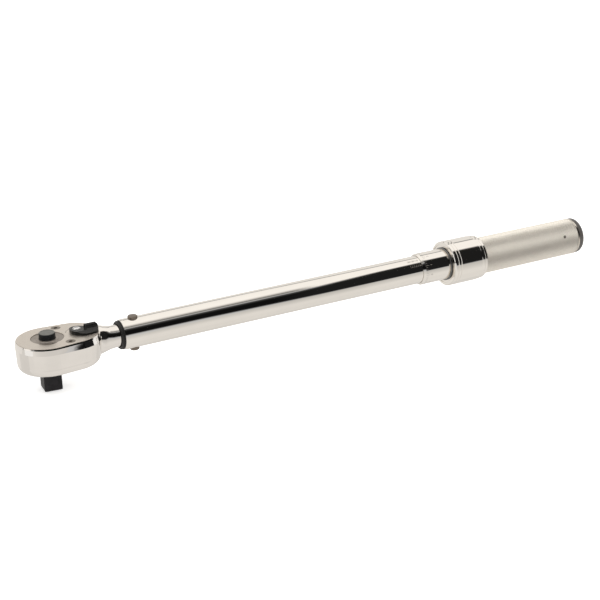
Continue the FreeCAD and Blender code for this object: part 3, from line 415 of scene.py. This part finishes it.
tv, tf_ = [], []
for k in range(10):
    a = math.radians(-8.0 + 36.0 * k)
    strip(tv, tf_, front + 0.0019, front + 0.0052, a - 0.008, a + 0.008, th_r + 0.00001, 2)
    for m5 in range(1, 5):
        am = a + math.radians(7.2 * m5)
        strip(tv, tf_, front + 0.0019, front + 0.0038, am - 0.006, am + 0.006, th_r + 0.00001, 2)
add_mesh("thimble_scale", tv, tf_, mark_m, "grip")
for k in range(10):
    a = math.radians(-8.0 + 36.0 * k)
    tube_text("thimble_number_%d" % k, str(k), 0.0024, front + 0.0072, a, th_r + 0.00001, "grip", mark_m, math.pi / 2)

# ------------------------------------------------------------------ springs
# Each working spring is its own coil of the CAD spring's size, set in the space between the two parts it pushes
# apart.
def coil(name, node, axis, wire, turns, part=(0.0, 1.0), around_n=10, per_turn=28):
    """A round-wire coil filling the node's box along its axis ("x" or "z"), or a share of its turns."""
    lo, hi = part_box(node)
    r = (hi.y - lo.y) / 2 - wire
    mid = (lo + hi) / 2
    first = (lo.x if axis == "x" else lo.z) + wire
    last = (hi.x if axis == "x" else hi.z) - wire
    rise = (last - first) / (turns * 2 * math.pi)
    n = int(round(turns * per_turn * (part[1] - part[0])))
    vs, fs = [], []
    for i in range(n + 1):
        t = (part[0] + (part[1] - part[0]) * i / n) * turns * 2 * math.pi
        c, q = math.cos(t), math.sin(t)
        slope = math.hypot(r, rise)
        for k in range(around_n):
            b = 2 * math.pi * k / around_n
            out, up = wire * math.cos(b), wire * math.sin(b)
            # local frame: u and v across the axis, w along it
            u = (r + out) * c + up * (rise / slope) * q
            v = (r + out) * q - up * (rise / slope) * c
            w = rise * t + up * (r / slope)
            if axis == "x":
                vs.append((first + w, mid.y + v, mid.z - u))
            else:
                vs.append((mid.x + u, mid.y + v, first + w))
    for i in range(n):
        for k in range(around_n):
            k2 = (k + 1) % around_n
            fs.append((i * around_n + k, (i + 1) * around_n + k, (i + 1) * around_n + k2, i * around_n + k2))
    fs.append(tuple(range(around_n)))
    fs.append(tuple(n * around_n + k for k in reversed(range(around_n))))
    me = bpy.data.meshes.new(name)
    me.from_pydata(vs, [], fs)
    me.validate()
    me.materials.append(spring_m)
    me.polygons.foreach_set("use_smooth", [True] * len(me.polygons))
    ob = bpy.data.objects.new(name, me)
    bpy.context.scene.collection.objects.link(ob)
    return ob, first, last, mid


def held(ob):
    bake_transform(ob)
    return ob


ls_ob, ls_a, ls_b, ls_m = coil("lock_spring_coil", "lock_spring", "x", 0.0008, 4)
held(ls_ob)
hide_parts("lock_spring")
bs_ob, bs_a, bs_b, bs_m = coil("button_spring_coil", "button_spring", "z", 0.0002, 3, per_turn=40)
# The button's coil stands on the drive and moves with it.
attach(bs_ob, "drive")
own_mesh(bs_ob)
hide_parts("button_spring")
# The main spring is pressed from both ends; its coil is made as a front and a rear half.
mf_ob, ms_a, ms_b, ms_m = coil("main_spring_front", "main_spring", "x", 0.0019, 23.529, (0.0, 0.5))
mr_ob, _a, _b, _m = coil("main_spring_rear", "main_spring", "x", 0.0019, 23.529, (0.5, 1.0))
held(mf_ob)
held(mr_ob)
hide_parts("main_spring")
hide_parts("main_spring")

# Turning-direction mark engraved beside the lever: an arc with an arrow head.
plate_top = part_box("cover_plate")[1].z
cx, cy = 0.0215, 0.0
av, af = [], []
n = 14
for i in range(n + 1):
    t = math.radians(112.0 + 46.0 * i / n)
    for rr in (0.00745, 0.00775):
        av.append((cx + rr * math.cos(t), cy + rr * math.sin(t), plate_top + 0.00001))
for i in range(n):
    af.append((2 * i, 2 * i + 1, 2 * i + 3, 2 * i + 2))
t = math.radians(162.0)
tip = len(av)
for rr, tt in ((0.0070, 156.0), (0.0082, 156.0), (0.0076, 164.0)):
    q = math.radians(tt)
    av.append((cx + rr * math.cos(q), cy + rr * math.sin(q), plate_top + 0.00001))
af.append((tip, tip + 1, tip + 2))
add_mesh("direction_mark", av, af, mark_m, "head")

# ------------------------------------------------------------------ studio
world = bpy.data.worlds.new("studio")
bpy.context.scene.world = world
world.use_nodes = True
wt = world.node_tree
wt.nodes.clear()
wo = wt.nodes.new("ShaderNodeOutputWorld")
wb = wt.nodes.new("ShaderNodeBackground")
wb.inputs["Color"].default_value = (1.0, 0.995, 0.985, 1.0)
wb.inputs["Strength"].default_value = 1.0
wt.links.new(wb.outputs["Background"], wo.inputs["Surface"])


def stage_mesh(name, verts, faces, color, emit=0.0, rough=0.9, seen=False):
    me = bpy.data.meshes.new(name)
    me.from_pydata(verts, [], faces)
    me.update()
    ob = bpy.data.objects.new(name, me)
    bpy.context.scene.collection.objects.link(ob)
    m = Mat(name + "_m", color, 0.0, rough, 0.1)
    m.b.inputs["Emission Color"].default_value = color
    m.b.inputs["Emission Strength"].default_value = emit
    tone = m.noise(m.mapped(2.0, 2.0, 2.0), 1.0, 2.0)
    dark = tuple(c * 0.985 for c in color[:3]) + (1.0,)
    m.color_from(m.ramp(tone, [(0.3, dark), (0.7, color)]))
    me.materials.append(m.m)
    ob.visible_camera = seen
    return ob


fz = -0.0002
floor = stage_mesh("floor", [(-6, -6, fz), (6, -6, fz), (6, 6, fz), (-6, 6, fz)], [(0, 1, 2, 3)], (0.9, 0.9, 0.9, 1.0), 0.55, seen=True)
floor.visible_glossy = False

# Light tent: an open cylinder round the tube's axis that only shiny surfaces see.
# The angle runs from -Y (0) over +Z (90); each row is a station along X.
TENT_R = 1.2
WARM = (1.0, 0.972, 0.932)
COOL = (0.985, 0.99, 1.0)


def tent_level(x, t):
    """Brightness (linear) of the tent at station x and angle t in degrees."""
    def along(pairs):
        if x <= pairs[0][0]:
            return pairs[0][1]
        for (xa, va), (xb, vb) in zip(pairs, pairs[1:]):
            if x <= xb:
                return va + (vb - va) * (x - xa) / (xb - xa)
        return pairs[-1][1]

    low = along([(-0.7, 12.0), (0.60, 13.0), (0.70, 8.0), (0.83, 1.0), (0.95, -1.0), (1.05, 0.0)])
    high = along([(-0.7, 44.0), (0.60, 48.0), (0.70, 51.0), (0.83, 52.0), (0.95, 69.0), (1.05, 71.0)])
    ramp_hi = along([(0.70, 16.0), (0.83, 13.0), (0.95, 6.0)])
    ramp_lo = along([(0.70, 9.0), (0.83, 8.0), (0.95, 5.0)])
    t = (t + 180.0) % 360.0 - 180.0
    sky = 1.10
    black = along([(0.75, 0.006), (0.83, 0.014)])
    under = 0.86
    if t > 150.0 or t < -150.0:
        v = 0.88
    elif t > 122.0:
        line = along([(0.70, 143.0), (0.83, 134.0), (0.95, 127.0)])
        q = min(1.0, max(0.0, (abs(t - line) - 2.0) / 2.5))
        v = 0.27 + ((0.92 if t > line else 1.05) - 0.27) * q
    elif t > 35.0 and x <= 0.79:
        # Over the bands of the ring's front: a bright streak inside a soft edge.
        q = 0.0
        edge_v = [(35.0, 0.006), (42.0, 0.012), (50.0, 0.06), (53.0, 0.10), (57.7, 0.55), (61.5, 0.30),
                  (65.5, 0.17), (73.7, 0.62), (80.0, 1.0), (90.0, sky)]
        v = sky
        for (ta, va), (tb, vb) in zip(edge_v, edge_v[1:]):
            if ta <= t < tb:
                v = va + (vb - va) * (t - ta) / (tb - ta)
    elif t > high + ramp_hi:
        v = sky
    elif t > high:
        q = (t - high) / ramp_hi
        v = 0.05 + (sky - 0.05) * q ** 1.6
    elif t >= low:
        edge = min(1.0, (high - t) / 8.0)
        v = black + 0.03 * (1.0 - edge) ** 2
    elif t > low - ramp_lo:
        q = (low - t) / ramp_lo
        v = black + (0.60 - black) * q ** 1.4
    elif t > -60.0:
        q = min(1.0, (low - ramp_lo - t) / 35.0)
        v = 0.60 + (under - 0.60) * q
    elif t > -100.0:
        v = under - 0.02
    else:
        v = under - 0.10
    return v


def tent():
    xs = [-3.0, -1.6, -0.9, -0.6, -0.3, 0.0, 0.2, 0.4, 0.5, 0.6, 0.65, 0.7, 0.75, 0.79, 0.83, 0.87, 0.91, 0.95, 1.0, 1.05, 1.2, 1.5, 2.2, 3.4]
    n = 240
    verts, faces, cols = [], [], []
    for x in xs:
        for i in range(n):
            a = 2 * math.pi * i / n
            verts.append((x, -TENT_R * math.cos(a), AXZ + TENT_R * math.sin(a)))
            t = math.degrees(a)
            v = tent_level(x, t)
            tt = (t + 180.0) % 360.0 - 180.0
            tint = WARM if (tt > 60.0 or tt < -5.0) else COOL
            cols.append((v * tint[0], v * tint[1], v * tint[2], 1.0))
    for k in range(len(xs) - 1):
        for i in range(n):
            i2 = (i + 1) % n
            faces.append((k * n + i, k * n + i2, (k + 1) * n + i2, (k + 1) * n + i))
    me = bpy.data.meshes.new("light_tent")
    me.from_pydata(verts, [], faces)
    att = me.color_attributes.new("level", "FLOAT_COLOR", "POINT")
    for i, c in enumerate(cols):
        att.data[i].color = c
    me.update()
    ob = bpy.data.objects.new("light_tent", me)
    bpy.context.scene.collection.objects.link(ob)
    m = bpy.data.materials.new("light_tent_m")
    m.use_nodes = True
    nt = m.node_tree
    nt.nodes.clear()
    out = nt.nodes.new("ShaderNodeOutputMaterial")
    em = nt.nodes.new("ShaderNodeEmission")
    at = nt.nodes.new("ShaderNodeVertexColor")
    at.layer_name = "level"
    nt.links.new(at.outputs["Color"], em.inputs["Color"])
    em.inputs["Strength"].default_value = 1.0
    nt.links.new(em.outputs["Emission"], out.inputs["Surface"])
    m.cycles.emission_sampling = "NONE"
    me.materials.append(m)
    ob.visible_camera = False
    ob.visible_diffuse = False
    ob.visible_shadow = False
    ob.visible_transmission = False
    ob.visible_volume_scatter = False


tent()


def area(name, loc, target, size, size_y, power, color=(1, 1, 1)):
    li = bpy.data.lights.new(name, "AREA")
    li.shape = "RECTANGLE"
    li.size = size
    li.size_y = size_y
    li.energy = power
    li.color = color
    ob = bpy.data.objects.new(name, li)
    bpy.context.scene.collection.objects.link(ob)
    ob.location = loc
    d = Vector(target) - Vector(loc)
    ob.rotation_mode = "QUATERNION"
    ob.rotation_quaternion = d.to_track_quat("-Z", "Y")
    return ob


area("overhead", (0.2, -0.3, 1.6), (0.2, 0.0, 0.0), 1.6, 1.0, 9.0, (1.0, 0.985, 0.955))

# ------------------------------------------------------------------ camera
cam_d = bpy.data.cameras.new("camera")
cam = bpy.data.objects.new("camera", cam_d)
bpy.context.scene.collection.objects.link(cam)
az, el, roll = math.radians(28.714), math.radians(20.313), math.radians(-1.77)
F = Vector((math.sin(az) * math.cos(el), math.cos(az) * math.cos(el), -math.sin(el)))
Rt = Vector((math.cos(az), -math.sin(az), 0.0))
U = Rt.cross(F)
Rt2 = Rt * math.cos(roll) + U * math.sin(roll)
U2 = -Rt * math.sin(roll) + U * math.cos(roll)
T = Vector((0.199149, 0.0, AXZ - 0.003814))
cam.location = T - F * 1.08066
rot = Matrix((Rt2, U2, -F)).transposed()
cam.rotation_mode = "QUATERNION"
cam.rotation_quaternion = rot.to_quaternion()
cam_d.sensor_width = 36.0
cam_d.lens = 86.01
cam_d.clip_start = 0.01
cam_d.clip_end = 50.0
bpy.context.scene.camera = cam
bpy.context.scene.view_settings.view_transform = "Standard"
bpy.context.scene.view_settings.look = "None"
bpy.context.scene.view_settings.exposure = 0.0
